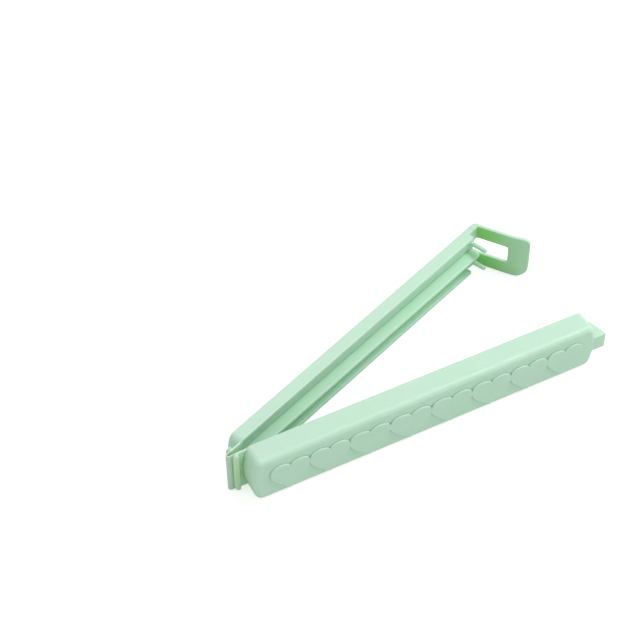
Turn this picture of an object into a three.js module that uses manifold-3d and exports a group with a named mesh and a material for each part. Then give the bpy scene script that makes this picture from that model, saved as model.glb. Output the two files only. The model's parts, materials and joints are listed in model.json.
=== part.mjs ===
// A one-piece moulded bag clip: two slim jaws joined by a living hinge, closed by a sprung loop
// that snaps over a tongue. It lies on its side and stands partly open. The members of the moulding
// are separate solids with a small gap between neighbours.
import * as THREE from 'three';
import { mergeVertices } from 'three/addons/utils/BufferGeometryUtils.js';
import Module from 'manifold-3d';

const wasm = await Module();
wasm.setup();

// Overall sizes, in millimetres. X runs along the lower jaw from the hinge, Y points out of its
// back and Z is across both jaws, up from the surface that the clip lies on.
const JAW_WIDTH = 14.5;
const COVER_LENGTH = 100;
const COVER_DEPTH = 6.9;
const BAR_DEPTH = 3.9;
const OPEN_ANGLE = 21.9;

// Clearances.
const JOIN_GAP = 0.3;
const PARTING_GAP = 0.3;

// Ends and corners of both jaws, seen from the face of the jaw.
const END_BULGE = 1.0;
const BULGE_AT_CORNER = 0.2;
const CORNER_RADIUS = 1.9;
const LEAST_CORNER_RADIUS = 0.3;
const FACE_EDGE_RADIUS = 1.5;
const FACE_EDGE_STEPS = 4;
const CURVE_STEPS = 6;

// Hinge.
const LEAF_LENGTH = 4.3;
const LEAF_THICKNESS = 1.5;
const LEAF_CORNER_RADIUS = 1.4;
const FILM_RADIUS = 0.4;
const FILM_INSET = 0.5;
const FILM_SIDES = 12;

// Lower jaw: a channel with a clamping blade down its middle.
const BACK_THICKNESS = 1.9;
const SIDE_WALL = 1.2;
const BLADE_THICKNESS = 1.3;
const BLADE_PROUD = 1.3;
const BAR_END_FROM_COVER_END = 3.1;
const BLADE_END_FROM_COVER_END = 1.9;
const WALL_END_TRIM = 0.2;

// Stop pegs at the mouth end of the lower jaw.
const PEG_DIAMETER = 1.4;
const PEG_SPREAD = 6.7;
const PEG_PROUD = 3.7;
const PEG_FROM_COVER_END = 2.4;
const PEG_SIDES = 16;

// Upper jaw: a hollow cover with two ribs that straddle the blade.
const COVER_WALL = 1.3;
const COVER_FACE = 1.2;
const RIB_THICKNESS = 1.1;
const RIB_CLEARANCE = 0.9;
const RIB_SETBACK = 0.3;
const RIB_END_MARGIN = 3.0;

// Hearts in relief on the face of the cover.
const HEART_COUNT = 8;
const HEART_END_PITCH = 10.95;
const HEART_MIDDLE_GAIN = 1.2;
const HEART_OVERLAP = 0.35;
const HEART_HEIGHT = 10.05;
const HEART_LOWERED = 1.1;
const HEART_RELIEF = 0.45;
const HEART_ROOT = 0.3;
const HEART_STEPS = 7;

// Catch tongue on the free end of the cover.
const TONGUE_WIDTH = 5.2;
const TONGUE_REACH = 3.2;
const TONGUE_TOE = 0.5;
const TONGUE_LEAD = 1.4;
const TONGUE_START = 0.8;
const TONGUE_SHOULDER_DROP = 0.3;

// Latch loop at the free end of the lower jaw.
const LOOP_CLEARANCE = 0.45;
const LOOP_THICKNESS = 1.1;
const LOOP_LEAN = 13.5;
const WINDOW_CLEARANCE = 0.25;
const CATCH_CLEARANCE = 0.45;
const BRIDGE_HEIGHT = 1.2;
const TAB_HEIGHT = 4.6;
const TAB_FLARE = 9;
const TAB_UPPER_CORNER_RADIUS = 1.8;
const TAB_REST_CORNER_RADIUS = 4.4;
const ELBOW_RADIUS = 1.6;
const ELBOW_LEAD = 1.6;
const ELBOW_STRIP = 0.4;
const ELBOW_STEPS = 6;

const COLOUR = 0xc6e8d6;
const DEEP_COLOUR = 0xa9d8a4;

// Places worked out from the sizes above. The hinge axis is at X = 0, Y = 0.
const MID_Z = JAW_WIDTH / 2;
const HALF_PARTING = PARTING_GAP / 2;
const COVER_START = LEAF_LENGTH;
const COVER_END = COVER_START + COVER_LENGTH;
const BAR_END = COVER_END - BAR_END_FROM_COVER_END;
const BLADE_END = COVER_END - BLADE_END_FROM_COVER_END;
const PEG_X = COVER_END - PEG_FROM_COVER_END;
const FLOOR_Y = BAR_DEPTH - BACK_THICKNESS;
const WALL_TOP_Y = FLOOR_Y - JOIN_GAP;
const COVER_FACE_INNER = COVER_DEPTH - COVER_FACE;
const SHOULDER_DEPTH = COVER_DEPTH - TONGUE_SHOULDER_DROP;
const TONGUE_TIP_X = COVER_END + END_BULGE + TONGUE_REACH;
const LOOP_BACK_X = COVER_END + LOOP_CLEARANCE;
const ELBOW_START = LOOP_BACK_X - ELBOW_LEAD;
const WINDOW_HEIGHT = TONGUE_WIDTH + 2 * WINDOW_CLEARANCE;
const ARM_HEIGHT = (JAW_WIDTH - WINDOW_HEIGHT) / 2;
const BRIDGE_START = BAR_DEPTH + SHOULDER_DEPTH + CATCH_CLEARANCE;
const REST_POINT_X = (COVER_START + BAR_END) / 2;
const REST_POINT_Y = (HALF_PARTING + WALL_TOP_Y) / 2;

const radians = (degrees) => degrees * Math.PI / 180;

function solidOf(geometry) {
  const bare = geometry.clone();
  bare.deleteAttribute('normal');
  bare.deleteAttribute('uv');
  const merged = mergeVertices(bare, 1e-4);
  return new wasm.Manifold(new wasm.Mesh({
    numProp: 3,
    vertProperties: new Float32Array(merged.attributes.position.array),
    triVerts: new Uint32Array(merged.index.array),
  }));
}

function geometryOf(solid) {
  const mesh = solid.getMesh();
  const geometry = new THREE.BufferGeometry();
  geometry.setAttribute('position', new THREE.BufferAttribute(mesh.vertProperties, 3));
  geometry.setIndex(new THREE.BufferAttribute(mesh.triVerts, 1));
  geometry.computeVertexNormals();
  return geometry;
}

function box(x0, x1, y0, y1, z0, z1) {
  const geometry = new THREE.BoxGeometry(x1 - x0, y1 - y0, z1 - z0);
  geometry.translate((x0 + x1) / 2, (y0 + y1) / 2, (z0 + z1) / 2);
  return geometry;
}

// An outline drawn in X and Z, made solid from y0 to y1.
function slab(shape, y0, y1, segments = CURVE_STEPS) {
  const geometry = new THREE.ExtrudeGeometry(shape, {
    depth: y1 - y0,
    bevelEnabled: false,
    curveSegments: segments,
  });
  geometry.rotateX(Math.PI / 2);
  geometry.translate(0, y1, 0);
  return geometry;
}

// An outline drawn in X and Y, made solid from z0 to z1.
function plate(points, z0, z1) {
  const geometry = new THREE.ExtrudeGeometry(new THREE.Shape(points), {
    depth: z1 - z0,
    bevelEnabled: false,
  });
  geometry.translate(0, 0, z0);
  return geometry;
}

// A long rectangle with round corners and ends that swell outwards in the middle. Inset shrinks it.
// The control point of each end is placed so that its middle stands out by exactly the bulge.
function jawOutline(x0, x1, inset, bulgeStart, bulgeEnd) {
  const left = x0 + inset;
  const right = x1 - inset;
  const low = inset;
  const high = JAW_WIDTH - inset;
  const radius = Math.max(CORNER_RADIUS - inset, LEAST_CORNER_RADIUS);
  const corner = BULGE_AT_CORNER;
  const control = 2 - BULGE_AT_CORNER;
  const shape = new THREE.Shape();
  shape.moveTo(left + radius, low);
  shape.lineTo(right - radius, low);
  shape.quadraticCurveTo(right, low, right + bulgeEnd * corner, low + radius);
  shape.quadraticCurveTo(right + bulgeEnd * control, MID_Z, right + bulgeEnd * corner, high - radius);
  shape.quadraticCurveTo(right, high, right - radius, high);
  shape.lineTo(left + radius, high);
  shape.quadraticCurveTo(left, high, left - bulgeStart * corner, high - radius);
  shape.quadraticCurveTo(left - bulgeStart * control, MID_Z, left - bulgeStart * corner, low + radius);
  shape.quadraticCurveTo(left, low, left + radius, low);
  return shape;
}

const material = (colour) => new THREE.MeshStandardMaterial({ color: colour, roughness: 0.42, metalness: 0 });

function part(name, geometry, colour = COLOUR) {
  const mesh = new THREE.Mesh(geometry, material(colour));
  mesh.name = name;
  return mesh;
}

// Lower jaw ------------------------------------------------------------------------------------

function barOutline(inset) {
  return jawOutline(COVER_START, BAR_END, inset, END_BULGE, 0);
}

function lowerBackPlate() {
  const outline = solidOf(slab(barOutline(0), FLOOR_Y, BAR_DEPTH));
  const tailStart = BAR_END - 2 * CORNER_RADIUS;
  const tail = solidOf(box(tailStart, ELBOW_START - JOIN_GAP, FLOOR_Y, BAR_DEPTH, 0, JAW_WIDTH));
  return part('lower_back_plate', geometryOf(outline.add(tail)));
}

// The ring of the channel wall, cut into its two sides and its hinge end.
function channelRing() {
  const outer = solidOf(slab(barOutline(0), HALF_PARTING, WALL_TOP_Y));
  const hollow = jawOutline(COVER_START, BAR_END + JAW_WIDTH, SIDE_WALL, END_BULGE, 0);
  return outer.subtract(solidOf(slab(hollow, -BAR_DEPTH, BAR_DEPTH)));
}

function channelSideWall(name, z0, z1) {
  const start = COVER_START + CORNER_RADIUS;
  const keep = solidOf(box(start, BAR_END - WALL_END_TRIM, -BAR_DEPTH, BAR_DEPTH, z0, z1));
  return part(name, geometryOf(channelRing().intersect(keep)));
}

function channelEndWall() {
  const limit = COVER_START + CORNER_RADIUS - JOIN_GAP;
  const keep = solidOf(box(0, limit, -BAR_DEPTH, BAR_DEPTH, 0, JAW_WIDTH));
  return part('channel_end_wall', geometryOf(channelRing().intersect(keep)));
}

function clampBlade() {
  const start = COVER_START + CORNER_RADIUS;
  const low = MID_Z - BLADE_THICKNESS / 2;
  return part('clamp_blade', box(start, BLADE_END, -BLADE_PROUD, WALL_TOP_Y, low, low + BLADE_THICKNESS));
}

function stopPeg(name, side) {
  const radius = PEG_DIAMETER / 2;
  const geometry = new THREE.CylinderGeometry(radius, radius, WALL_TOP_Y + PEG_PROUD, PEG_SIDES);
  geometry.translate(PEG_X, (WALL_TOP_Y - PEG_PROUD) / 2, MID_Z + side * PEG_SPREAD / 2);
  return part(name, geometry);
}

// A leaf lies against the parting plane, from the film to the end of its jaw. Side is +1 for the
// lower jaw, whose depth runs along +Y, and -1 for the upper.
function hingeLeaf(name, side) {
  const start = FILM_RADIUS + JOIN_GAP;
  const shape = new THREE.Shape();
  const low = FILM_INSET;
  const high = JAW_WIDTH - FILM_INSET;
  const r = LEAF_CORNER_RADIUS;
  shape.moveTo(start + r, low);
  shape.lineTo(COVER_START + CORNER_RADIUS, low);
  shape.lineTo(COVER_START + CORNER_RADIUS, high);
  shape.lineTo(start + r, high);
  shape.quadraticCurveTo(start, high, start, high - r);
  shape.lineTo(start, low + r);
  shape.quadraticCurveTo(start, low, start + r, low);
  const near = side * HALF_PARTING;
  const far = side * (HALF_PARTING + LEAF_THICKNESS);
  const leaf = solidOf(slab(shape, Math.min(near, far), Math.max(near, far)));
  const jaw = jawOutline(COVER_START, COVER_END, -JOIN_GAP, END_BULGE, 0);
  return part(name, geometryOf(leaf.subtract(solidOf(slab(jaw, -COVER_DEPTH, BAR_DEPTH)))));
}

function hingeFilm() {
  const length = JAW_WIDTH - 2 * FILM_INSET;
  const geometry = new THREE.CylinderGeometry(FILM_RADIUS, FILM_RADIUS, length, FILM_SIDES);
  geometry.rotateX(Math.PI / 2);
  geometry.translate(0, 0, MID_Z);
  return part('hinge_film', geometry, DEEP_COLOUR);
}

// Latch loop -----------------------------------------------------------------------------------

// A point of the loop at a height above the back of the lower jaw: inner or outer side of the
// strap, which leans away from the jaw.
function loopPoint(height, outer) {
  const x = LOOP_BACK_X + Math.tan(radians(LOOP_LEAN)) * height + (outer ? LOOP_THICKNESS : 0);
  return new THREE.Vector2(x, BAR_DEPTH - height);
}

// The window of the loop runs on through the elbow and stops short of the back plate.
function latchElbow() {
  const points = [
    loopPoint(BACK_THICKNESS, false),
    new THREE.Vector2(ELBOW_START, FLOOR_Y),
    new THREE.Vector2(ELBOW_START, BAR_DEPTH),
  ];
  const centre = loopPoint(ELBOW_RADIUS, true);
  centre.x -= ELBOW_RADIUS;
  for (let i = 0; i <= ELBOW_STEPS; i += 1) {
    const angle = Math.PI / 2 * (1 - i / ELBOW_STEPS);
    points.push(new THREE.Vector2(
      centre.x + ELBOW_RADIUS * Math.cos(angle),
      centre.y + ELBOW_RADIUS * Math.sin(angle),
    ));
  }
  points.push(loopPoint(BACK_THICKNESS, true));
  const slotStart = ELBOW_START + ELBOW_STRIP;
  const slotEnd = LOOP_BACK_X + 2 * LOOP_THICKNESS;
  const slot = box(slotStart, slotEnd, 0, 2 * BAR_DEPTH, ARM_HEIGHT, JAW_WIDTH - ARM_HEIGHT);
  const elbow = solidOf(plate(points, 0, JAW_WIDTH)).subtract(solidOf(slot));
  return part('latch_elbow', geometryOf(elbow));
}

function strapLength(start, end) {
  return [loopPoint(start, false), loopPoint(end, false), loopPoint(end, true), loopPoint(start, true)];
}

function latchArm(name, z0, z1) {
  const start = BACK_THICKNESS + JOIN_GAP;
  const end = BRIDGE_START - JOIN_GAP;
  return part(name, plate(strapLength(start, end), z0, z1));
}

function latchBridge() {
  const end = BRIDGE_START + BRIDGE_HEIGHT;
  return part('latch_bridge', plate(strapLength(BRIDGE_START, end), 0, JAW_WIDTH));
}

// The thumb tab carries on from the bridge and flares further out, with round outer corners.
function thumbTab() {
  const start = BRIDGE_START + BRIDGE_HEIGHT + JOIN_GAP;
  const shape = new THREE.Shape();
  const rest = TAB_REST_CORNER_RADIUS;
  const upper = TAB_UPPER_CORNER_RADIUS;
  shape.moveTo(0, 0);
  shape.lineTo(TAB_HEIGHT - rest, 0);
  shape.quadraticCurveTo(TAB_HEIGHT, 0, TAB_HEIGHT, rest);
  shape.lineTo(TAB_HEIGHT, JAW_WIDTH - upper);
  shape.quadraticCurveTo(TAB_HEIGHT, JAW_WIDTH, TAB_HEIGHT - upper, JAW_WIDTH);
  shape.lineTo(0, JAW_WIDTH);
  shape.closePath();
  const geometry = new THREE.ExtrudeGeometry(shape, {
    depth: LOOP_THICKNESS,
    bevelEnabled: false,
    curveSegments: CURVE_STEPS,
  });
  geometry.rotateX(Math.PI / 2);
  const root = loopPoint(start, false);
  geometry.rotateZ(-Math.PI / 2 + radians(LOOP_LEAN + TAB_FLARE));
  geometry.translate(root.x, root.y, 0);
  const outwards = LOOP_THICKNESS * Math.cos(radians(LOOP_LEAN + TAB_FLARE));
  geometry.translate(outwards, 0, 0);
  return part('thumb_tab', geometry, DEEP_COLOUR);
}

// Upper jaw, drawn closed on the lower jaw, so its depth runs along -Y ----------------------------

function heartShape(width) {
  const w = width / 2;
  const h = HEART_HEIGHT / 2;
  const shape = new THREE.Shape();
  shape.moveTo(0, 0.76 * h);
  shape.bezierCurveTo(0.08 * w, 0.93 * h, 0.28 * w, h, 0.48 * w, h);
  shape.bezierCurveTo(0.8 * w, h, w, 0.8 * h, w, 0.41 * h);
  shape.bezierCurveTo(w, 0, 0.5 * w, -0.55 * h, 0, -h);
  shape.bezierCurveTo(-0.5 * w, -0.55 * h, -w, 0, -w, 0.41 * h);
  shape.bezierCurveTo(-w, 0.8 * h, -0.8 * w, h, -0.48 * w, h);
  shape.bezierCurveTo(-0.28 * w, h, -0.08 * w, 0.93 * h, 0, 0.76 * h);
  return shape;
}

// The share of the row that one heart takes: the hearts are a little wider towards its middle.
function heartPitch(index) {
  return HEART_END_PITCH + HEART_MIDDLE_GAIN * Math.sin(Math.PI * (index + 0.5) / HEART_COUNT) ** 2;
}

function heartRow() {
  const length = HEART_COUNT * (HEART_END_PITCH + HEART_MIDDLE_GAIN / 2);
  const raised = -COVER_DEPTH - HEART_RELIEF;
  let row = null;
  let start = (COVER_START + COVER_END - length) / 2;
  for (let i = 0; i < HEART_COUNT; i += 1) {
    const pitch = heartPitch(i);
    const shape = heartShape(pitch + HEART_OVERLAP);
    const heart = slab(shape, raised, -COVER_DEPTH + HEART_ROOT, HEART_STEPS);
    heart.translate(start + pitch / 2, 0, MID_Z - HEART_LOWERED);
    row = row ? row.add(solidOf(heart)) : solidOf(heart);
    start += pitch;
  }
  return row;
}

// The outside of the cover: the jaw's outline with the edge of its face rounded.
function coverBlock() {
  const geometry = new THREE.ExtrudeGeometry(
    jawOutline(COVER_START, COVER_END, FACE_EDGE_RADIUS, END_BULGE, END_BULGE),
    {
      depth: COVER_DEPTH,
      bevelEnabled: true,
      bevelThickness: FACE_EDGE_RADIUS,
      bevelSize: FACE_EDGE_RADIUS,
      bevelSegments: FACE_EDGE_STEPS,
      curveSegments: CURVE_STEPS,
    },
  );
  geometry.rotateX(Math.PI / 2);
  geometry.translate(0, FACE_EDGE_RADIUS, 0);
  const end = COVER_END + JAW_WIDTH;
  const keep = solidOf(box(-JAW_WIDTH, end, -2 * COVER_DEPTH, -HALF_PARTING, -JAW_WIDTH, 2 * JAW_WIDTH));
  return solidOf(geometry).intersect(keep);
}

function coverShell() {
  const cavity = solidOf(slab(
    jawOutline(COVER_START, COVER_END, COVER_WALL, END_BULGE, END_BULGE),
    -COVER_FACE_INNER,
    COVER_DEPTH,
  ));
  return part('cover_shell', geometryOf(coverBlock().subtract(cavity).add(heartRow())));
}

function coverRib(name, side) {
  const near = BLADE_THICKNESS / 2 + RIB_CLEARANCE;
  const low = side > 0 ? MID_Z + near : MID_Z - near - RIB_THICKNESS;
  const start = COVER_START + COVER_WALL + RIB_END_MARGIN;
  const end = COVER_END - COVER_WALL - RIB_END_MARGIN;
  const deep = -COVER_FACE_INNER + JOIN_GAP;
  const shallow = -HALF_PARTING - RIB_SETBACK;
  return part(name, box(start, end, deep, shallow, low, low + RIB_THICKNESS));
}

function catchTongue() {
  const back = COVER_END + END_BULGE + JOIN_GAP;
  const points = [
    new THREE.Vector2(back, -TONGUE_START),
    new THREE.Vector2(back, -SHOULDER_DEPTH),
    new THREE.Vector2(TONGUE_TIP_X, -SHOULDER_DEPTH),
    new THREE.Vector2(TONGUE_TIP_X, -SHOULDER_DEPTH + TONGUE_TOE),
    new THREE.Vector2(back + TONGUE_LEAD, -TONGUE_START),
  ];
  return part('catch_tongue', plate(points, MID_Z - TONGUE_WIDTH / 2, MID_Z + TONGUE_WIDTH / 2));
}

// Assembly -------------------------------------------------------------------------------------

const lowerJaw = new THREE.Group();
lowerJaw.add(lowerBackPlate());
lowerJaw.add(channelSideWall('channel_upper_wall', MID_Z, JAW_WIDTH));
lowerJaw.add(channelSideWall('channel_rest_wall', 0, MID_Z));
lowerJaw.add(channelEndWall());
lowerJaw.add(clampBlade());
lowerJaw.add(stopPeg('stop_peg_upper', 1));
lowerJaw.add(stopPeg('stop_peg_lower', -1));
lowerJaw.add(hingeLeaf('lower_hinge_leaf', 1));
lowerJaw.add(hingeFilm());
lowerJaw.add(latchElbow());

const latch = new THREE.Group();
latch.add(latchArm('latch_arm_upper', JAW_WIDTH - ARM_HEIGHT, JAW_WIDTH));
latch.add(latchArm('latch_arm_lower', 0, ARM_HEIGHT));
latch.add(latchBridge());
latch.add(thumbTab());

const upperJaw = new THREE.Group();
upperJaw.add(coverShell());
upperJaw.add(coverRib('cover_rib_upper', 1));
upperJaw.add(coverRib('cover_rib_lower', -1));
upperJaw.add(catchTongue());
upperJaw.add(hingeLeaf('upper_hinge_leaf', -1));
upperJaw.rotation.z = -radians(OPEN_ANGLE);

const clip = new THREE.Group();
clip.add(lowerJaw, latch, upperJaw);
clip.position.set(-REST_POINT_X, -REST_POINT_Y, 0);

const bagClip = new THREE.Group();
bagClip.add(clip);

export default bagClip;
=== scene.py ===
import json
import math

import bpy
from mathutils import Matrix, Vector


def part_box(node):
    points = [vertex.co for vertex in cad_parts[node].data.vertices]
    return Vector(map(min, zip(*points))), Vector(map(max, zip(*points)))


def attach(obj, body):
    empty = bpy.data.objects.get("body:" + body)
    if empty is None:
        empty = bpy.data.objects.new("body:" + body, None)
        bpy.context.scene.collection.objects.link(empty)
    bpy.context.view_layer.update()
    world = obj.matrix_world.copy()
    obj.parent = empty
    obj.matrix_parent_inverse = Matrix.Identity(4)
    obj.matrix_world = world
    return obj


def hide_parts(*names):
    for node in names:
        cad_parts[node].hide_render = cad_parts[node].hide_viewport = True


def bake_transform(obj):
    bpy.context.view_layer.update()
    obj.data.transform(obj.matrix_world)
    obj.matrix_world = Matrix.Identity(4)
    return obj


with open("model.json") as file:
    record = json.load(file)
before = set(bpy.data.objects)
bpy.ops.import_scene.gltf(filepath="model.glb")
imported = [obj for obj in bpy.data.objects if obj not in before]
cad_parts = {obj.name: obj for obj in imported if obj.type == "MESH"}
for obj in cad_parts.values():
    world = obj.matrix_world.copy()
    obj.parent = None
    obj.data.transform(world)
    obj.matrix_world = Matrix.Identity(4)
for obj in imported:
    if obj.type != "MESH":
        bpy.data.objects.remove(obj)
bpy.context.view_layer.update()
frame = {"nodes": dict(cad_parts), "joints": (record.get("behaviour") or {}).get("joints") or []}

MM = 0.001

# ------------------------------------------------------------------------------------------------
# Places and sizes of the clip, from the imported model
# ------------------------------------------------------------------------------------------------

joints = {joint["name"]: joint for joint in frame["joints"]}
PIVOT = Vector(joints["jaw_hinge"]["pos_m"])
OPENING = math.radians(-joints["jaw_hinge"]["range_deg"][0])
ROOT = Vector(joints["latch_flex"]["pos_m"])


def closed_box(node):
    """The box of a node of the upper jaw when the clip is shut."""
    turn = Matrix.Translation(PIVOT) @ Matrix.Rotation(OPENING, 4, "Z") @ Matrix.Translation(-PIVOT)
    points = [turn @ v.co for v in frame["nodes"][node].data.vertices]
    low = Vector([min(p[i] for p in points) for i in range(3)])
    high = Vector([max(p[i] for p in points) for i in range(3)])
    return low, high


# How far the ends of both jaws swell, the radius of their corners, the round edge of the cover's face,
# the small round of every other edge, and the gap between neighbours that the visible pieces close.
END_SWELL = 1.0 * MM
CORNER = 1.9 * MM
FACE_ROUND = 1.5 * MM
SMALL_ROUND = 0.22 * MM
JOIN = 0.3 * MM

plate_low, plate_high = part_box("lower_back_plate")
wall_low, wall_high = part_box("channel_upper_wall")
blade_low, blade_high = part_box("clamp_blade")
cover_low, cover_high = closed_box("cover_shell")
tongue_low, tongue_high = closed_box("catch_tongue")
arm_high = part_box("latch_arm_lower")[1]
bridge_low, bridge_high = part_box("latch_bridge")
tab_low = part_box("thumb_tab")[0]

WIDTH = plate_high.z
MIDDLE = WIDTH / 2
BACK_Y = plate_high.y
FLOOR_Y = plate_low.y
PARTING_Y = wall_low.y
JAW_START = cover_low.x + END_SWELL
JAW_END = cover_high.x - END_SWELL
WALL_END = wall_high.x
SIDE_WALL = wall_high.z - wall_low.z
TAIL_END = plate_high.x + JOIN
RELIEF = 0.45 * MM
COVER_FACE_Y = cover_low.y + RELIEF
COVER_OPEN_Y = cover_high.y
COVER_WALL = 1.3 * MM
COVER_FACE = 1.2 * MM

# ------------------------------------------------------------------------------------------------
# Camera
# ------------------------------------------------------------------------------------------------

LOOK_AT = Vector((6.66, 20.45, 0)) * MM
CAMERA_AT = Vector((-231.2, -190.5, 336.6)) * MM
CAMERA_LENS = 93.5
CAMERA_ROLL = math.radians(-1.08)
SENSOR_WIDTH = 36
NEAREST, FARTHEST = 0.01, 20

camera_data = bpy.data.cameras.new("camera")
camera = bpy.data.objects.new("camera", camera_data)
bpy.context.scene.collection.objects.link(camera)
camera_data.lens = CAMERA_LENS
camera_data.sensor_width = SENSOR_WIDTH
camera_data.clip_start = NEAREST
camera_data.clip_end = FARTHEST
camera.location = CAMERA_AT
aim = (LOOK_AT - CAMERA_AT).to_track_quat("-Z", "Y").to_matrix().to_4x4()
camera.rotation_euler = (aim @ Matrix.Rotation(CAMERA_ROLL, 4, "Z")).to_euler()
bpy.context.scene.camera = camera

# ------------------------------------------------------------------------------------------------
# Bench tools: how a piece is picked up, selected and shaped
# ------------------------------------------------------------------------------------------------

SAME_PLACE = 0.02 * MM
SAME_POINT = 0.002 * MM
SAME_WAY = 0.99
FLAT_ANGLE = math.radians(0.5)
SMOOTH_ANGLE = math.radians(32)
CUT_PAST = 1 * MM


def put_down():
    """Leaves editing, with nothing selected."""
    active = bpy.context.view_layer.objects.active
    if active is not None and active.mode != "OBJECT":
        bpy.ops.object.mode_set(mode="OBJECT")
    bpy.ops.object.select_all(action="DESELECT")


def take(piece):
    """Makes the piece the only one selected."""
    put_down()
    piece.select_set(True)
    bpy.context.view_layer.objects.active = piece


def pick(piece, kind, test):
    """Opens the piece for editing with only those vertices, edges or faces selected that pass the test."""
    take(piece)
    mesh = piece.data
    groups = {"VERT": mesh.vertices, "EDGE": mesh.edges, "FACE": mesh.polygons}
    bpy.context.tool_settings.mesh_select_mode = tuple(kind == k for k in groups)
    for group in groups.values():
        group.foreach_set("select", [False] * len(group))
    groups[kind].foreach_set("select", [bool(test(p)) for p in groups[kind]])
    bpy.ops.object.mode_set(mode="EDIT")


def near(a, b):
    """Whether two heights or lengths are the same, but for what a cut leaves."""
    return abs(a - b) < SAME_PLACE


def ends(piece, edge):
    """The places of an edge's two ends."""
    return [piece.data.vertices[i].co for i in edge.vertices]


def facing(direction):
    """The test for faces that look in a direction."""
    return lambda face: face.normal.dot(Vector(direction)) > SAME_WAY


def settle(name):
    """Names the primitive just added, and moves its place and size into its mesh."""
    piece = bpy.context.object
    piece.name = name
    piece.data.name = name
    bpy.ops.object.transform_apply(location=True, rotation=True, scale=True)
    return piece


def block(name, low, high):
    """A block at its size and place, to be shaped further."""
    put_down()
    low, high = Vector(low), Vector(high)
    bpy.ops.mesh.primitive_cube_add(size=1, location=(low + high) / 2, scale=high - low)
    return settle(name)


def pin(name, centre, radius, length, sides):
    """A round pin that lies along Y, at its size and place, to be shaped further."""
    put_down()
    bpy.ops.mesh.primitive_cylinder_add(
        vertices=sides, radius=radius, depth=length, location=centre, rotation=(math.pi / 2, 0, 0)
    )
    return settle(name)


def round_rim(piece, width, segments):
    """Rounds the rim round the faces that are selected."""
    bpy.ops.mesh.region_to_loop()
    bpy.ops.mesh.bevel(offset=width, segments=segments, affect="EDGES")
    put_down()


def finish_with(piece, kind, **values):
    """Adds a modifier and applies it."""
    take(piece)
    modifier = piece.modifiers.new(kind.lower(), kind)
    for name, value in values.items():
        setattr(modifier, name, value)
    bpy.ops.object.modifier_apply(modifier=modifier.name)


def combine(piece, tool, operation):
    """Joins the tool to the piece, or cuts it out, and throws the tool away."""
    finish_with(piece, "BOOLEAN", operation=operation, object=tool, solver="EXACT")
    bpy.data.objects.remove(tool)


def sweep_up():
    """Deletes the loose vertices and edges of the piece being edited."""
    bpy.ops.mesh.select_all(action="SELECT")
    bpy.ops.mesh.delete_loose()


def merge_flats(piece):
    """Makes one face of every flat region, so that an edge is only where the surface turns."""
    pick(piece, "FACE", lambda face: True)
    bpy.ops.mesh.remove_doubles(threshold=SAME_POINT)
    bpy.ops.mesh.dissolve_limited(angle_limit=FLAT_ANGLE)
    sweep_up()
    put_down()


def round_edges(piece, width, segments=3, angle=28):
    """Rounds every edge of the piece that turns by more than the angle."""
    finish_with(
        piece,
        "BEVEL",
        width=width,
        segments=segments,
        limit_method="ANGLE",
        angle_limit=math.radians(angle),
        harden_normals=False,
        use_clamp_overlap=False,
        miter_outer="MITER_ARC",
    )


def smooth(piece):
    """Shades the piece smooth over its small rounds, and keeps its flats looking flat."""
    take(piece)
    bpy.ops.object.shade_smooth_by_angle(angle=SMOOTH_ANGLE)
    finish_with(piece, "WEIGHTED_NORMAL", weight=100, keep_sharp=True)
    put_down()


def turn_piece(piece, angle, about):
    """Turns the whole piece in its mesh about an upright axis. Anticlockwise from above is positive."""
    pick(piece, "VERT", lambda v: True)
    bpy.ops.transform.rotate(value=-angle, orient_axis="Z", orient_type="GLOBAL", center_override=about)
    put_down()


def open_up(piece):
    """Turns a piece of the upper jaw from where it is when shut to where the clip stands open."""
    turn_piece(piece, -OPENING, PIVOT)


# ------------------------------------------------------------------------------------------------
# Jaws
# ------------------------------------------------------------------------------------------------

# How many levels the outline of a jaw's end is drawn in.
LEVELS = 28


def end_stand_out(height, width, swell, corner):
    """How far the end of a jaw stands out at a height: a swell in the middle, and round corners."""
    across = (height - width / 2) / (width / 2)
    out = swell * (1 - across * across) ** 2
    edge = min(height, width - height)
    if edge < corner:
        out -= corner - math.sqrt(max(corner * corner - (corner - edge) ** 2, 0))
    return out


def jaw_blank(name, low, high, near_end, far_end):
    """A bar whose two ends are shaped level by level. Each end is a swell and a corner radius."""
    piece = block(name, low, high)

    def upright(edge):
        a, b = ends(piece, edge)
        return near(a.x, b.x) and near(a.y, b.y)

    pick(piece, "EDGE", upright)
    bpy.ops.mesh.subdivide(number_cuts=LEVELS - 1)
    put_down()
    width = high[2] - low[2]
    rows = {}
    for v in piece.data.vertices:
        level = round((v.co.z - low[2]) / width * LEVELS)
        rows.setdefault((level, v.co.x > (low[0] + high[0]) / 2), set()).add(v.index)
    for (level, far), members in rows.items():
        # The levels crowd towards the corners, where the outline turns fastest.
        height = width * (1 - math.cos(math.pi * level / LEVELS)) / 2
        swell, corner = far_end if far else near_end
        out = end_stand_out(height, width, swell, corner)
        pick(piece, "VERT", lambda v: v.index in members)
        bpy.ops.transform.translate(value=(out if far else -out, 0, height - width * level / LEVELS))
    put_down()
    return piece


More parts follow.
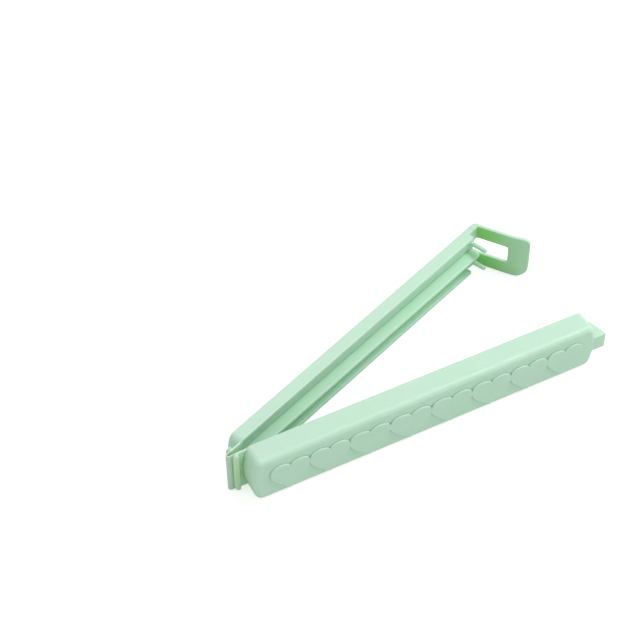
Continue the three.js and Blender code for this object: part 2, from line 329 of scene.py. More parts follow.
# The latch loop: a strap that leans outwards from the elbow, with a window, a bridge over the tongue and
# a tab that flares out further.
STRAP = 1.1 * MM
LEAN = math.radians(13.5)
FLARE = math.radians(9)
STRAP_FOOT_X = ROOT.x - STRAP / 2 - math.tan(LEAN) * (BACK_Y - ROOT.y)
LOOP_TAIL = 4 * MM
ELBOW_ROUND = 1.6 * MM
INNER_ROUND = 0.45 * MM
ARM = arm_high.z
BRIDGE_FROM = BACK_Y - bridge_high.y
BRIDGE_TO = BACK_Y - bridge_low.y
TAB_BEND = 0.8 * MM
TAB_LENGTH = 4.6 * MM
TAB_TIP = 0.8 * MM
TAB_UPPER_CORNER = 1.8 * MM
TAB_REST_CORNER = 4.4 * MM
WINDOW_INWARD = 2.2 * MM
WINDOW_OUTWARD = 3 * MM
WINDOW_CORNER = 0.5 * MM
ELBOW_STRIP = 0.4 * MM
SLOT_LENGTH = 6 * MM
SLOT_UNDER_FLOOR = 0.5 * MM
SLOT_CORNER = 1.2 * MM


def strap_place(height, outer=False):
    """A point of the latch strap, seen from above, at a height over the back of the lower jaw."""
    x = STRAP_FOOT_X + math.tan(LEAN) * height + (STRAP if outer else 0)
    return Vector((x, BACK_Y - height))


def arc(centre, radius, start, stop, steps):
    """Points on an arc, from one angle to another in degrees."""
    angles = [math.radians(start + (stop - start) * i / steps) for i in range(steps + 1)]
    return [centre + radius * Vector((math.cos(a), math.sin(a))) for a in angles]


def sheet_of_outline(name, points, low_z, high_z):
    """A flat outline, drawn as a curve and given its height."""
    put_down()
    curve = bpy.data.curves.new(name, "CURVE")
    curve.dimensions = "2D"
    curve.fill_mode = "BOTH"
    curve.extrude = (high_z - low_z) / 2
    line = curve.splines.new("POLY")
    line.points.add(len(points) - 1)
    for knot, point in zip(line.points, points):
        knot.co = (point[0], point[1], 0, 1)
    line.use_cyclic_u = True
    piece = bpy.data.objects.new(name, curve)
    bpy.context.scene.collection.objects.link(piece)
    take(piece)
    bpy.ops.object.convert(target="MESH")
    pick(piece, "VERT", lambda v: True)
    bpy.ops.mesh.remove_doubles(threshold=SAME_POINT)
    bpy.ops.transform.translate(value=(0, 0, (low_z + high_z) / 2))
    bpy.ops.mesh.normals_make_consistent(inside=False)
    put_down()
    return piece


def loop_blank():
    """The latch loop seen from above: the tail of the back plate, the elbow, the strap and the flared tab."""
    tail = WALL_END - LOOP_TAIL
    foot = strap_place(BACK_Y - FLOOR_Y)
    elbow = Vector((strap_place(ELBOW_ROUND, True).x - ELBOW_ROUND, BACK_Y - ELBOW_ROUND))
    flare = LEAN + FLARE
    along = Vector((math.sin(flare), -math.cos(flare)))
    across = Vector((math.cos(flare), math.sin(flare))) * STRAP / 2
    bend = (strap_place(BRIDGE_TO) + strap_place(BRIDGE_TO, True)) / 2
    tip = bend + along * (TAB_LENGTH + JOIN)
    outline = [Vector((tail, BACK_Y)), Vector((tail, FLOOR_Y))]
    outline += arc(foot + Vector((-INNER_ROUND, -INNER_ROUND)), INNER_ROUND, 90, 10, 4)
    outline += [strap_place(BRIDGE_TO - TAB_BEND), bend - across + along * TAB_BEND, tip - across]
    outline += [tip + across, bend + across + along * TAB_BEND, strap_place(BRIDGE_TO - TAB_BEND, True)]
    outline += arc(elbow, ELBOW_ROUND, -10, 90, 10)
    loop = sheet_of_outline("latch_loop", outline, 0, WIDTH)
    merge_flats(loop)

    for height, corner in ((WIDTH, TAB_UPPER_CORNER), (0, TAB_REST_CORNER)):
        def tab_corner(edge):
            a, b = ends(loop, edge)
            return near(a.z, height) and near(b.z, height) and max(a.y, b.y) < tip.y + TAB_TIP

        pick(loop, "EDGE", tab_corner)
        bpy.ops.mesh.bevel(offset=corner, segments=10, affect="EDGES")
    put_down()
    return loop


def window_cutter():
    """What the window of the loop is cut out with, with tight round corners at the bridge."""
    start, stop = BACK_Y - FLOOR_Y, BRIDGE_FROM
    middle = (strap_place(start) + strap_place(stop, True)) / 2
    length = (stop - start) / math.cos(LEAN)
    low = (middle.x - WINDOW_INWARD, middle.y - length / 2, ARM)
    high = (middle.x + WINDOW_OUTWARD, middle.y + length / 2, WIDTH - ARM)
    cutter = block("window_cutter", low, high)

    def bridge_corner(edge):
        a, b = ends(cutter, edge)
        return near(a.y, b.y) and near(a.z, b.z) and a.y < middle.y

    pick(cutter, "EDGE", bridge_corner)
    bpy.ops.mesh.bevel(offset=WINDOW_CORNER, segments=6, affect="EDGES")
    put_down()
    turn_piece(cutter, LEAN, (middle.x, middle.y, MIDDLE))
    return cutter


def elbow_cutter():
    """What the slot in the elbow is cut out with, so that the window runs on to the back plate."""
    start = TAIL_END + ELBOW_STRIP
    low = (start, FLOOR_Y - SLOT_UNDER_FLOOR, ARM)
    high = (start + SLOT_LENGTH, BACK_Y + CUT_PAST, WIDTH - ARM)
    cutter = block("elbow_cutter", low, high)

    def inner_corner(edge):
        a, b = ends(cutter, edge)
        return near(a.x, start) and near(b.x, start) and near(a.z, b.z)

    pick(cutter, "EDGE", inner_corner)
    bpy.ops.mesh.bevel(offset=SLOT_CORNER, segments=8, affect="EDGES")
    put_down()
    return cutter


# The hinge: the radius that the film folds at, and the two leaves that reach it, each with a groove
# across its outside where it thins towards the jaw.
FOLD = 0.4 * MM
LEAF = 1.5 * MM
LEAF_INSET = 0.5 * MM
LEAF_CORNER = 1.1 * MM
LEAF_TIP = 2 * MM
LEAF_SINK = 0.8 * MM
GROOVE_FROM = 2.2 * MM
GROOVE_DEPTH = 0.9 * MM
GROOVE_PAST_JAW_START = 2 * MM


def hinge_leaf(name, side):
    """The flap that reaches from the end of a jaw to the fold. Side is +1 for the lower jaw."""
    near_y, far_y = PARTING_Y - PIVOT.y, PARTING_Y - PIVOT.y + LEAF
    ys = sorted((PIVOT.y + side * near_y, PIVOT.y + side * far_y))
    low = (PIVOT.x + FOLD + JOIN, ys[0], LEAF_INSET)
    high = (JAW_START + LEAF_SINK, ys[1], WIDTH - LEAF_INSET)
    leaf = block(name, low, high)

    def corner(edge):
        a, b = ends(leaf, edge)
        return near(a.x, b.x) and near(a.z, b.z) and a.x < PIVOT.x + LEAF_TIP

    pick(leaf, "EDGE", corner)
    bpy.ops.mesh.bevel(offset=LEAF_CORNER, segments=6, affect="EDGES")
    put_down()
    outside = ys[1] if side > 0 else ys[0]
    groove_ys = sorted((outside - side * GROOVE_DEPTH, outside + side * CUT_PAST))
    groove = block(
        "groove_cutter",
        (PIVOT.x + GROOVE_FROM, groove_ys[0], LEAF_INSET - CUT_PAST),
        (JAW_START + GROOVE_PAST_JAW_START, groove_ys[1], WIDTH - LEAF_INSET + CUT_PAST),
    )
    combine(leaf, groove, "DIFFERENCE")
    merge_flats(leaf)
    round_edges(leaf, SMALL_ROUND, angle=40)
    return leaf


SQUARE_END = (0, 0)
CHANNEL_RUN_OUT = 0.5 * MM


def make_channel_and_loop():
    """The lower jaw in one with the latch loop, as they are moulded, then parted at the elbow."""
    jaw = jaw_blank(
        "channel_jaw",
        (JAW_START, PARTING_Y, 0),
        (WALL_END, BACK_Y, WIDTH),
        (END_SWELL, CORNER),
        SQUARE_END,
    )
    combine(jaw, loop_blank(), "UNION")
    channel = jaw_blank(
        "channel_cutter",
        (JAW_START + SIDE_WALL, PARTING_Y - 2 * CUT_PAST, SIDE_WALL),
        (WALL_END + CHANNEL_RUN_OUT, FLOOR_Y, WIDTH - SIDE_WALL),
        (END_SWELL, CORNER - SIDE_WALL),
        SQUARE_END,
    )
    combine(jaw, channel, "DIFFERENCE")
    combine(jaw, window_cutter(), "DIFFERENCE")
    combine(jaw, elbow_cutter(), "DIFFERENCE")
    merge_flats(jaw)
    round_edges(jaw, SMALL_ROUND)
    combine(jaw, hinge_leaf("lower_leaf", 1), "UNION")
    return part_at(jaw, TAIL_END, "latch_loop")


def part_at(piece, x, name):
    """Parts the piece in two across a plane, and closes both cuts. The new piece is the far one."""
    take(piece)
    bpy.ops.object.duplicate()
    far = bpy.context.object
    far.name = name
    far.data.name = name
    for half, inner in ((piece, False), (far, True)):
        pick(half, "FACE", lambda face: True)
        bpy.ops.mesh.bisect(
            plane_co=(x, 0, 0), plane_no=(1, 0, 0), use_fill=True, clear_inner=inner, clear_outer=not inner
        )
        sweep_up()
        put_down()
    return piece, far


# ------------------------------------------------------------------------------------------------
# Cover
# ------------------------------------------------------------------------------------------------

# The row of hearts. Each runs into the next one by the overlap, and the row sits a little below the
# middle of the face.
HEARTS = 8
HEART_END_PITCH = 10.95 * MM
HEART_MIDDLE_GAIN = 1.2 * MM
HEART_OVERLAP = 0.35 * MM
HEART_HEIGHT = 10.05 * MM
HEART_LOWERED = 1.1 * MM
HEART_EDGE = 0.24 * MM
HEART_SINK = 0.5 * MM


def bezier(a, b, c, d, steps):
    """Points along a curve from a to d, drawn towards b and c, without its last point."""
    points = []
    for i in range(steps):
        t = i / steps
        points.append(a * (1 - t) ** 3 + b * 3 * t * (1 - t) ** 2 + c * 3 * t * t * (1 - t) + d * t ** 3)
    return points


def heart_pitch(index):
    """The share of the row that one heart takes: the hearts are a little wider towards its middle."""
    return HEART_END_PITCH + HEART_MIDDLE_GAIN * math.sin(math.pi * (index + 0.5) / HEARTS) ** 2


def half_heart():
    """The right half of a heart of unit size: from its notch, and from its tip, to its widest place."""
    widest = Vector((1, 0.41))
    lobe = bezier(Vector((0, 0.76)), Vector((0.08, 0.93)), Vector((0.28, 1)), Vector((0.48, 1)), 7)
    lobe += bezier(Vector((0.48, 1)), Vector((0.8, 1)), Vector((1, 0.8)), widest, 9)
    flank = bezier(Vector((0, -1)), Vector((0.5, -0.55)), Vector((1, 0)), widest, 12)
    return lobe + [widest], flank + [widest]


def up_to(points, reach):
    """The points as far out as the reach, with the last one on it."""
    kept = [points[0]]
    for a, b in zip(points, points[1:]):
        if b.x > reach:
            return kept + [a.lerp(b, (reach - a.x) / (b.x - a.x))]
        kept.append(b)
    return kept


def heart_row_outline():
    """The outline of the whole row. Each heart runs into the next one through a short neck."""
    lobe, flank = half_heart()
    start = (JAW_START + JAW_END - sum(heart_pitch(i) for i in range(HEARTS))) / 2
    above, below = [], []
    for i in range(HEARTS):
        share = heart_pitch(i)
        half = (share + HEART_OVERLAP) / 2
        neck = share / 2 / half

        def placed(points, side):
            return [Vector((start + share / 2 + side * p.x * half, p.y * HEART_HEIGHT / 2)) for p in points]

        left_reach, right_reach = (neck if i > 0 else 1), (neck if i < HEARTS - 1 else 1)
        skip = 1 if i > 0 else 0
        above += placed(up_to(lobe, left_reach), -1)[::-1][skip:] + placed(up_to(lobe, right_reach), 1)[1:]
        below += placed(up_to(flank, left_reach), -1)[::-1][skip:] + placed(up_to(flank, right_reach), 1)[1:]
        start += share
    return above + below[::-1]


def make_hearts():
    """The row of raised hearts, drawn flat, set up against the face of the cover and softened at its edge."""
    hearts = sheet_of_outline("heart_row", heart_row_outline(), 0, RELIEF + HEART_SINK)
    merge_flats(hearts)
    pick(hearts, "VERT", lambda v: True)
    bpy.ops.transform.rotate(
        value=-math.pi / 2, orient_axis="X", orient_type="GLOBAL", center_override=(0, 0, 0)
    )
    bpy.ops.transform.translate(value=(0, COVER_FACE_Y + HEART_SINK, MIDDLE - HEART_LOWERED))
    put_down()
    pick(hearts, "FACE", facing((0, -1, 0)))
    round_rim(hearts, HEART_EDGE, 4)
    return hearts


def make_cover():
    """The upper jaw: a hollow cover with a round edge to its face, raised hearts and a hinge leaf."""
    cover = jaw_blank(
        "jaw_cover",
        (JAW_START, COVER_FACE_Y, 0),
        (JAW_END, COVER_OPEN_Y, WIDTH),
        (END_SWELL, CORNER),
        (END_SWELL, CORNER),
    )
    merge_flats(cover)
    pick(cover, "FACE", facing((0, -1, 0)))
    round_rim(cover, FACE_ROUND, 6)
    hollow = jaw_blank(
        "cover_cutter",
        (JAW_START + COVER_WALL, COVER_FACE_Y + COVER_FACE, COVER_WALL),
        (JAW_END - COVER_WALL, COVER_OPEN_Y + CUT_PAST, WIDTH - COVER_WALL),
        (END_SWELL, CORNER - COVER_WALL),
        (END_SWELL, CORNER - COVER_WALL),
    )
    combine(cover, hollow, "DIFFERENCE")
    merge_flats(cover)
    round_edges(cover, SMALL_ROUND, angle=40)
    combine(cover, hinge_leaf("upper_leaf", -1), "UNION")
    combine(cover, make_hearts(), "UNION")
    return cover


# ------------------------------------------------------------------------------------------------
# Blade, ribs, pegs, tongue and fold
# ------------------------------------------------------------------------------------------------

DRAFT = 0.86
BLADE_INTO_END = 0.9 * MM
BLADE_ROUND = 0.3 * MM
PEG_SIDES = 28
PEG_TAPER = 0.9
PEG_ROUND = 0.2 * MM
TONGUE_SINK = 0.2 * MM
TONGUE_LEAD = 1.4 * MM
TONGUE_TOE = 0.5 * MM
TONGUE_ROUND = 0.35 * MM
FILM_INSIDE = FOLD - 0.12 * MM
FILM_OUTSIDE = FOLD + 0.3 * MM
FILM_REACH = 1.3 * MM
FILM_EDGE = LEAF_INSET + 0.1 * MM
FILM_ROUND = 0.08 * MM
MARK_FROM_HINGE = 33 * MM
MARK_FROM_WALL = 1.35 * MM
MARK_SIDES = 32
MARK_RADIUS = 1.0 * MM
MARK_LENGTH = 0.3 * MM
MARK_RIM = 0.22 * MM
MARK_HOLLOW = 0.1 * MM
MARK_ROUND = 0.05 * MM


def drafted_bar(name, low, high, root_high, round_off):
    """A standing rib: a bar that thins towards its free edge, with that edge rounded over."""
    bar = block(name, low, high)
    free = (0, -1, 0) if root_high else (0, 1, 0)
    pick(bar, "FACE", facing(free))
    middle = [(low[i] + high[i]) / 2 for i in range(3)]
    bpy.ops.transform.resize(value=(1, 1, DRAFT), center_override=middle)
    round_rim(bar, round_off, 4)
    return bar


def make_blade():
    """The blade down the middle of the channel, rooted in its floor and in its end wall."""
    low = (blade_low.x - BLADE_INTO_END, blade_low.y, blade_low.z)
    high = (blade_high.x, FLOOR_Y + JOIN, blade_high.z)
    return drafted_bar("blade", low, high, True, BLADE_ROUND)


def make_rib(name, node):
    """A rib inside the cover, rooted in its face, as it is when the clip is shut."""
    low, high = closed_box(node)
    return drafted_bar(name, (low.x, low.y - JOIN * 1.5, low.z), high, False, SMALL_ROUND)


def make_peg(name, node):
    """A stop peg: a slim drafted pin that stands on the floor, with a rounded tip."""
    low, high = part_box(node)
    x, z = (low.x + high.x) / 2, (low.z + high.z) / 2
    root = FLOOR_Y + JOIN
    peg = pin(name, (x, (root + low.y) / 2, z), (high.x - low.x) / 2, root - low.y, PEG_SIDES)
    pick(peg, "FACE", facing((0, -1, 0)))
    bpy.ops.transform.resize(value=(PEG_TAPER, 1, PEG_TAPER), center_override=(x, low.y, z))
    round_rim(peg, PEG_ROUND, 3)
    return peg


def make_tongue():
    """The catch tongue, seen from above: a ramp that leads in, a blunt tip and a square shoulder."""
    back = JAW_END - TONGUE_SINK
    tip = tongue_high.x
    lead = tongue_low.x + TONGUE_LEAD
    shoulder = tongue_low.y
    toe = shoulder + TONGUE_TOE
    start = tongue_high.y
    outline = [
        Vector((back, start)),
        Vector((back, shoulder)),
        Vector((tip, shoulder)),
        Vector((tip, toe)),
        Vector((lead, start)),
    ]
    tongue = sheet_of_outline("tongue", outline, tongue_low.z, tongue_high.z)
    merge_flats(tongue)
    round_edges(tongue, TONGUE_ROUND, segments=4)
    return tongue


def make_fold():
    """The thin film that the clip folds at: a strip round the hinge axis, from one leaf to the other."""
    axis = Vector((PIVOT.x, PIVOT.y))
    out = Vector((math.cos(OPENING), -math.sin(OPENING)))
    below = Vector((-math.sin(OPENING), -math.cos(OPENING)))
    stop = -90 - math.degrees(OPENING) + 360
    tail = axis + out * FILM_REACH
    outline = [axis + Vector((FILM_REACH, FILM_OUTSIDE))]
    outline += arc(axis, FILM_OUTSIDE, 90, stop, 24)
    outline += [tail + below * FILM_OUTSIDE, tail + below * FILM_INSIDE]
    outline += arc(axis, FILM_INSIDE, stop, 90, 24)
    outline += [axis + Vector((FILM_REACH, FILM_INSIDE))]
    fold = sheet_of_outline("fold", outline, FILM_EDGE, WIDTH - FILM_EDGE)
    merge_flats(fold)
    round_edges(fold, FILM_ROUND, segments=2, angle=60)
    return fold


def make_ejector_mark():
    """The round mark that an ejector pin leaves on the floor of the channel: a shallow ring."""
    centre = (PIVOT.x + MARK_FROM_HINGE, FLOOR_Y, wall_low.z - MARK_FROM_WALL)
    mark = pin("ejector_mark", centre, MARK_RADIUS, MARK_LENGTH, MARK_SIDES)
    pick(mark, "FACE", facing((0, -1, 0)))
    bpy.ops.mesh.inset(thickness=MARK_RIM)
    bpy.ops.transform.translate(value=(0, MARK_HOLLOW, 0))
    put_down()
    round_edges(mark, MARK_ROUND, segments=2)
    return mark


# ------------------------------------------------------------------------------------------------
# Finishes
# ------------------------------------------------------------------------------------------------


# Which sockets of a Mix node are its colours.
FIRST, SECOND, MIXED = 6, 7, 2


def socket(group, way, kind, name, value=None):
    """Gives a node group an input or output."""
    made = group.interface.new_socket(name=name, in_out=way, socket_type=kind)
    if value is not None:
        made.default_value = value


def node(tree, kind, place, inputs=None, **values):
    """Adds a shader node. The values are its own settings, and the inputs are those of its sockets."""
    made = tree.nodes.new(kind)
    made.location = place
    for name, value in values.items():
        setattr(made, name, value)
    for name, value in (inputs or {}).items():
        made.inputs[name].default_value = value
    return made


def levels(tree, place, start, stop, first=0, last=1, **values):
    """A node that turns what runs from start to stop into what runs from first to last."""
    inputs = {"From Min": start, "From Max": stop, "To Min": first, "To Max": last}
    return node(tree, "ShaderNodeMapRange", place, inputs, **values)


def mixer(tree, place):
    """A node that mixes its FIRST colour with its SECOND into the colour MIXED."""
    return node(tree, "ShaderNodeMix", place, data_type="RGBA")


# How much of the texture's height is grain.
GRAIN_SHARE = 0.16


def mould_texture_group():
    """The satin skin of an injection moulding: a fine spark-eroded grain over a faint slow waviness."""
    group = bpy.data.node_groups.new("mould_texture", "ShaderNodeTree")
    socket(group, "INPUT", "NodeSocketFloat", "Grain per metre", 5200)
    socket(group, "INPUT", "NodeSocketFloat", "Smoothest", 0.34)
    socket(group, "INPUT", "NodeSocketFloat", "Roughest", 0.48)
    socket(group, "OUTPUT", "NodeSocketFloat", "Roughness")
    socket(group, "OUTPUT", "NodeSocketFloat", "Height")
    given = node(group, "NodeGroupInput", (-900, 0))
    result = node(group, "NodeGroupOutput", (600, 0))
    place = node(group, "ShaderNodeTexCoord", (-900, -250))
    grain = node(group, "ShaderNodeTexNoise", (-600, 100), {"Detail": 3, "Roughness": 0.6})
    wave = node(group, "ShaderNodeTexNoise", (-600, -200), {"Scale": 230, "Detail": 2})
    add = node(group, "ShaderNodeMath", (-250, -50), {1: GRAIN_SHARE}, operation="MULTIPLY_ADD")
    level = levels(group, (-250, 250), 0.35, 0.65)
    link = group.links.new
    link(place.outputs["Object"], grain.inputs["Vector"])
    link(place.outputs["Object"], wave.inputs["Vector"])
    link(given.outputs["Grain per metre"], grain.inputs["Scale"])
    link(grain.outputs["Fac"], add.inputs[0])
    link(wave.outputs["Fac"], add.inputs[2])
    link(wave.outputs["Fac"], level.inputs["Value"])
    link(given.outputs["Smoothest"], level.inputs["To Min"])
    link(given.outputs["Roughest"], level.inputs["To Max"])
    link(level.outputs["Result"], result.inputs["Roughness"])
    link(add.outputs["Value"], result.inputs["Height"])
    return group


# How far a recess is looked for, where green light is painted in, and a crease, where shade is painted in,
# how strong that painted crease shade is at most, and how far from the hinge the warmer colour is full and
# has faded out.
RECESS_REACH = 7 * MM
CREASE_REACH = 0.8 * MM
CREASE_SHADE_MOST = 0.6
WARM_FROM = 4 * MM
WARM_REACH = 8 * MM


def pigment_and_painted_light_group():
    """The colour of the plastic: slow swirls and warmer by the hinge, with painted light and shade on top: a
    painted green light in recesses and a painted dark shade in creases.
    """
    group = bpy.data.node_groups.new("pigment_and_painted_light", "ShaderNodeTree")
    for name in ("Mint", "Swirl", "Painted recess light", "Painted crease shade", "Near hinge"):
        socket(group, "INPUT", "NodeSocketColor", name, (1, 1, 1, 1))
    socket(group, "OUTPUT", "NodeSocketColor", "Colour")
    given = node(group, "NodeGroupInput", (-900, 0))
    result = node(group, "NodeGroupOutput", (700, 0))
    place = node(group, "ShaderNodeTexCoord", (-900, -300))
    swirl = node(group, "ShaderNodeTexNoise", (-600, 150), {"Scale": 75, "Detail": 4, "Distortion": 0.8})
    share = levels(group, (-350, 150), 0.4, 0.75)
    mixed = mixer(group, (-100, 100))
    # Painted light: the less open sky a point sees, the more of the painted green recess light goes into its
    # colour.
    open_sky = node(group, "ShaderNodeAmbientOcclusion", (-350, -550), {"Distance": RECESS_REACH}, samples=6)
    depth = levels(group, (-100, -450), 0.1, 0.55, 1, 0)
    painted_recess_light = mixer(group, (150, 50))
    # Painted shade: a short occlusion darkens the colour in the creases where two faces meet.
    contact = node(group, "ShaderNodeAmbientOcclusion", (-350, -800), {"Distance": CREASE_REACH}, samples=6)
    pinch = levels(group, (-100, -750), 0.35, 0.85, CREASE_SHADE_MOST, 0)
    painted_crease_shade = mixer(group, (300, -150))
    away = node(group, "ShaderNodeVectorMath", (-600, -300), {1: PIVOT}, operation="DISTANCE")
    close = levels(group, (-350, -300), WARM_FROM, WARM_REACH, 1, 0, interpolation_type="SMOOTHSTEP")
    warm = mixer(group, (400, 0))
    link = group.links.new
    link(place.outputs["Object"], swirl.inputs["Vector"])
    link(swirl.outputs["Fac"], share.inputs["Value"])
    link(share.outputs["Result"], mixed.inputs["Factor"])
    link(given.outputs["Mint"], mixed.inputs[FIRST])
    link(given.outputs["Swirl"], mixed.inputs[SECOND])
    link(open_sky.outputs["AO"], depth.inputs["Value"])
    link(depth.outputs["Result"], painted_recess_light.inputs["Factor"])
    link(mixed.outputs[MIXED], painted_recess_light.inputs[FIRST])
    link(given.outputs["Painted recess light"], painted_recess_light.inputs[SECOND])
    link(place.outputs["Object"], away.inputs[0])
    link(away.outputs["Value"], close.inputs["Value"])
    link(close.outputs["Result"], warm.inputs["Factor"])
    link(painted_recess_light.outputs[MIXED], warm.inputs[FIRST])
    link(given.outputs["Near hinge"], warm.inputs[SECOND])
    link(contact.outputs["AO"], pinch.inputs["Value"])
    link(pinch.outputs["Result"], painted_crease_shade.inputs["Factor"])
    link(warm.outputs[MIXED], painted_crease_shade.inputs[FIRST])
    link(given.outputs["Painted crease shade"], painted_crease_shade.inputs[SECOND])
    link(painted_crease_shade.outputs[MIXED], result.inputs["Colour"])
    return group


# The green of light coming through the loop is painted into its colour: in full from this far down its arms,
# after it has come in over a length of the elbow. It is weakest at the tip of the tab, and weak on the
# outside.
THIN_FULL_FROM = 1 * MM
THIN_BEGIN = 1.6 * MM
THIN_LEAST = 0.1
THIN_OUTSIDE = 0.3


def painted_through_light_group():
    """Where the green of light coming through the loop is painted on: most on its broad faces by the elbow,
    least at the tab.
    """
    group = bpy.data.node_groups.new("painted_through_light", "ShaderNodeTree")
    socket(group, "OUTPUT", "NodeSocketFloat", "Share")
    result = node(group, "NodeGroupOutput", (500, 0))
    place = node(group, "ShaderNodeTexCoord", (-900, 0))
    split_place = node(group, "ShaderNodeSeparateXYZ", (-650, 150))
    split_normal = node(group, "ShaderNodeSeparateXYZ", (-650, -150))
    full = arm_high.y - THIN_FULL_FROM
    fade = levels(group, (-150, 250), tab_low.y, full, THIN_LEAST, 1, interpolation_type="SMOOTHSTEP")
    begin = levels(group, (-150, 0), TAIL_END, TAIL_END + THIN_BEGIN, interpolation_type="SMOOTHSTEP")
    tilt = node(group, "ShaderNodeMath", (-400, -150), operation="ABSOLUTE")
    sideways = levels(group, (-150, -250), 0.25, 0.85, 1, 0)
    inward = levels(group, (-150, -500), -0.3, 0.3, 1, THIN_OUTSIDE)
    broad = node(group, "ShaderNodeMath", (100, -350), operation="MULTIPLY")
    first = node(group, "ShaderNodeMath", (100, 150), operation="MULTIPLY")
    both = node(group, "ShaderNodeMath", (300, 0), operation="MULTIPLY")
    link = group.links.new
    link(place.outputs["Object"], split_place.inputs["Vector"])
    link(place.outputs["Normal"], split_normal.inputs["Vector"])
    link(split_place.outputs["Y"], fade.inputs["Value"])
    link(split_place.outputs["X"], begin.inputs["Value"])
    link(split_normal.outputs["Z"], tilt.inputs[0])
    link(tilt.outputs["Value"], sideways.inputs["Value"])
    link(fade.outputs["Result"], first.inputs[0])
    link(begin.outputs["Result"], first.inputs[1])
    link(first.outputs["Value"], both.inputs[0])
    link(split_normal.outputs["X"], inward.inputs["Value"])
    link(sideways.outputs["Result"], broad.inputs[0])
    link(inward.outputs["Result"], broad.inputs[1])
    link(broad.outputs["Value"], both.inputs[1])
    link(both.outputs["Value"], result.inputs["Share"])
    return group


TEXTURE = mould_texture_group()
PIGMENT_AND_PAINTED_LIGHT = pigment_and_painted_light_group()
PAINTED_THROUGH_LIGHT = painted_through_light_group()


MINT = (0.555, 0.765, 0.625)
MINT_DEEP = (0.53, 0.76, 0.60)
# Painted light and shade: a green light painted into recesses, and a dark shade painted into creases.
MINT_PAINTED_RECESS_LIGHT = (0.48, 0.90, 0.56)
MINT_PAINTED_CREASE_SHADE = (0.20, 0.46, 0.25)
MINT_WARM = (0.54, 0.77, 0.50)
# Painted light: the saturated green of light coming through the loop.
MINT_PAINTED_THROUGH_LIGHT = (0.30, 0.68, 0.20)
MINT_TAB = (0.50, 0.74, 0.52)
MINT_WHITENED = (0.52, 0.69, 0.55)

TEXTURE_STRENGTH = 0.35
TEXTURE_DEPTH = 0.03 * MM
PLASTIC_IOR = 1.49
PLASTIC_SHINE = 0.5
# How far red, green and blue light run through the plastic, as shares of its depth.
LIGHT_RUNS = (0.4, 1.0, 0.5)
BODY_GLOW, BODY_DEPTH = 0.45, 1.6
FILM_GLOW, FILM_DEPTH = 0.3, 1.0


def plastic(name, mint, swirl, painted_recess_light, near_hinge, glow, depth_mm, through_light=None):
    """Satin polypropylene. Light runs through it for a few millimetres and comes out greener."""
    material = bpy.data.materials.new(name)
    material.use_nodes = True
    tree = material.node_tree
    shader = tree.nodes["Principled BSDF"]
    # The colour carries painted light and shade: green light in recesses, dark shade in creases, and on the
    # loop the green of light coming through it.
    pigment_and_painted_light = node(tree, "ShaderNodeGroup", (-600, 200), node_tree=PIGMENT_AND_PAINTED_LIGHT)
    for part, colour in (
        ("Mint", mint),
        ("Swirl", swirl),
        ("Painted recess light", painted_recess_light),
        ("Painted crease shade", MINT_PAINTED_CREASE_SHADE),
        ("Near hinge", near_hinge),
    ):
        pigment_and_painted_light.inputs[part].default_value = (*colour, 1)
    skin = node(tree, "ShaderNodeGroup", (-600, -100), node_tree=TEXTURE)
    bump = node(tree, "ShaderNodeBump", (-250, -200))
    bump.inputs["Strength"].default_value = TEXTURE_STRENGTH
    bump.inputs["Distance"].default_value = TEXTURE_DEPTH
    link = tree.links.new
    if through_light:
        # Painted light: the loop's colour turns a saturated green where light through it is painted on.
        wall = node(tree, "ShaderNodeGroup", (-600, 450), node_tree=PAINTED_THROUGH_LIGHT)
        tint = mixer(tree, (-300, 300))
        tint.inputs[SECOND].default_value = (*through_light, 1)
        link(wall.outputs["Share"], tint.inputs["Factor"])
        link(pigment_and_painted_light.outputs["Colour"], tint.inputs[FIRST])
        link(tint.outputs[MIXED], shader.inputs["Base Color"])
    else:
        link(pigment_and_painted_light.outputs["Colour"], shader.inputs["Base Color"])
    link(skin.outputs["Roughness"], shader.inputs["Roughness"])
    link(skin.outputs["Height"], bump.inputs["Height"])
    link(bump.outputs["Normal"], shader.inputs["Normal"])
    shader.inputs["IOR"].default_value = PLASTIC_IOR
    shader.inputs["Specular IOR Level"].default_value = PLASTIC_SHINE
    shader.inputs["Subsurface Weight"].default_value = glow
    shader.inputs["Subsurface Radius"].default_value = LIGHT_RUNS
    shader.inputs["Subsurface Scale"].default_value = depth_mm * MM
    return material


body_plastic = plastic(
    "satin_mint_plastic", MINT, MINT_DEEP, MINT_PAINTED_RECESS_LIGHT, MINT_WARM, BODY_GLOW, BODY_DEPTH
)
thin_plastic = plastic(
    "thin_mint_plastic", MINT, MINT_TAB, MINT_PAINTED_RECESS_LIGHT, MINT_WARM, BODY_GLOW, BODY_DEPTH, MINT_PAINTED_THROUGH_LIGHT
)
film_plastic = plastic(
    "stress_whitened_film", MINT_WHITENED, MINT, MINT_WHITENED, MINT_WHITENED, FILM_GLOW, FILM_DEPTH
)

# ------------------------------------------------------------------------------------------------
# Assembly
# ------------------------------------------------------------------------------------------------


def give_finish(piece, material):
    """Shades the piece and gives it its plastic."""
    smooth(piece)
    piece.data.materials.clear()
    piece.data.materials.append(material)


def fit(piece, body, nodes, material):
    """Gives a piece its finish, its body and the nodes that it stands for."""
    give_finish(piece, material)
    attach(piece, body)
    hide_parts(*nodes)


channel, loop = make_channel_and_loop()
fit(
    channel,
    "lower_jaw",
    ["lower_back_plate", "channel_upper_wall", "channel_rest_wall", "channel_end_wall", "lower_hinge_leaf"],
    body_plastic,
)
fit(make_blade(), "lower_jaw", ["clamp_blade"], body_plastic)
fit(make_peg("peg_upper", "stop_peg_upper"), "lower_jaw", ["stop_peg_upper"], body_plastic)
fit(make_peg("peg_lower", "stop_peg_lower"), "lower_jaw", ["stop_peg_lower"], body_plastic)
fit(make_ejector_mark(), "lower_jaw", [], body_plastic)

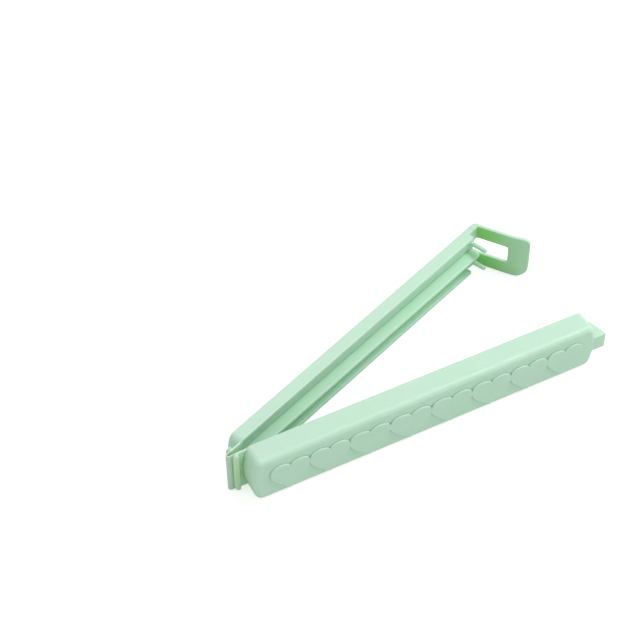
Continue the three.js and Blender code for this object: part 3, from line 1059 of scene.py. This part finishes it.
give_finish(loop, thin_plastic)
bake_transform(loop)
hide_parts("latch_elbow", "latch_arm_upper", "latch_arm_lower", "latch_bridge", "thumb_tab")

cover = make_cover()
open_up(cover)
fit(cover, "upper_jaw", ["cover_shell", "upper_hinge_leaf"], body_plastic)
for rib_name in ("rib_upper", "rib_lower"):
    rib = make_rib(rib_name, "cover_" + rib_name)
    open_up(rib)
    fit(rib, "upper_jaw", ["cover_" + rib_name], body_plastic)
tongue = make_tongue()
open_up(tongue)
fit(tongue, "upper_jaw", ["catch_tongue"], body_plastic)

fold = make_fold()
give_finish(fold, film_plastic)
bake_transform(fold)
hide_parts("hinge_film")

# ------------------------------------------------------------------------------------------------
# Floor and light
# ------------------------------------------------------------------------------------------------

FLOOR_SIZE = 3
FLOOR_GREY = 0.6
FLOOR_ROUGHNESS = 0.7
FLOOR_SHINE = 0.2
# The floor glows a little, so that the shadows on it stay pale. Most of its glow is only seen: the clip
# is lit by the rest, which is green like the light between its own walls.
GLOW_ON_CLIP = 0.14
GLOW_SEEN = 0.5
GLOW_TINT = (0.6, 1, 0.7, 1)
SKY_STRENGTH = 0.7
KEY_PLACE = (0.45, -0.3, 0.75)
KEY_SIZE = 0.5
KEY_POWER = 4.4
WHITE = (1, 1, 1, 1)

put_down()
bpy.ops.mesh.primitive_plane_add(size=FLOOR_SIZE, location=(0, 0, 0))
floor = bpy.context.object
floor.name = "floor"
white = bpy.data.materials.new("white_table")
white.use_nodes = True
table_shader = white.node_tree.nodes["Principled BSDF"]
table_shader.inputs["Base Color"].default_value = (FLOOR_GREY, FLOOR_GREY, FLOOR_GREY, 1)
seen = node(white.node_tree, "ShaderNodeLightPath", (-600, -200))
glow_inputs = {1: GLOW_SEEN, 2: GLOW_ON_CLIP}
glow = node(white.node_tree, "ShaderNodeMath", (-300, -200), glow_inputs, operation="MULTIPLY_ADD")
shade = mixer(white.node_tree, (-300, 100))
shade.inputs[FIRST].default_value = GLOW_TINT
shade.inputs[SECOND].default_value = WHITE
link = white.node_tree.links.new
link(seen.outputs["Is Camera Ray"], shade.inputs["Factor"])
link(shade.outputs[MIXED], table_shader.inputs["Emission Color"])
link(seen.outputs["Is Camera Ray"], glow.inputs[0])
link(glow.outputs["Value"], table_shader.inputs["Emission Strength"])
table_shader.inputs["Roughness"].default_value = FLOOR_ROUGHNESS
table_shader.inputs["Specular IOR Level"].default_value = FLOOR_SHINE
floor.data.materials.append(white)

world = bpy.data.worlds.new("studio")
bpy.context.scene.world = world
world.use_nodes = True
sky = world.node_tree.nodes["Background"]
sky.inputs["Color"].default_value = WHITE
sky.inputs["Strength"].default_value = SKY_STRENGTH

key = bpy.data.lights.new("key_softbox", "AREA")
key.shape = "SQUARE"
key.size = KEY_SIZE
key.energy = KEY_POWER
softbox = bpy.data.objects.new("key_softbox", key)
bpy.context.scene.collection.objects.link(softbox)
softbox.location = KEY_PLACE
softbox.rotation_euler = (-Vector(KEY_PLACE)).to_track_quat("-Z", "Y").to_euler()

bpy.context.scene.view_settings.view_transform = "Standard"
bpy.context.scene.view_settings.look = "None"
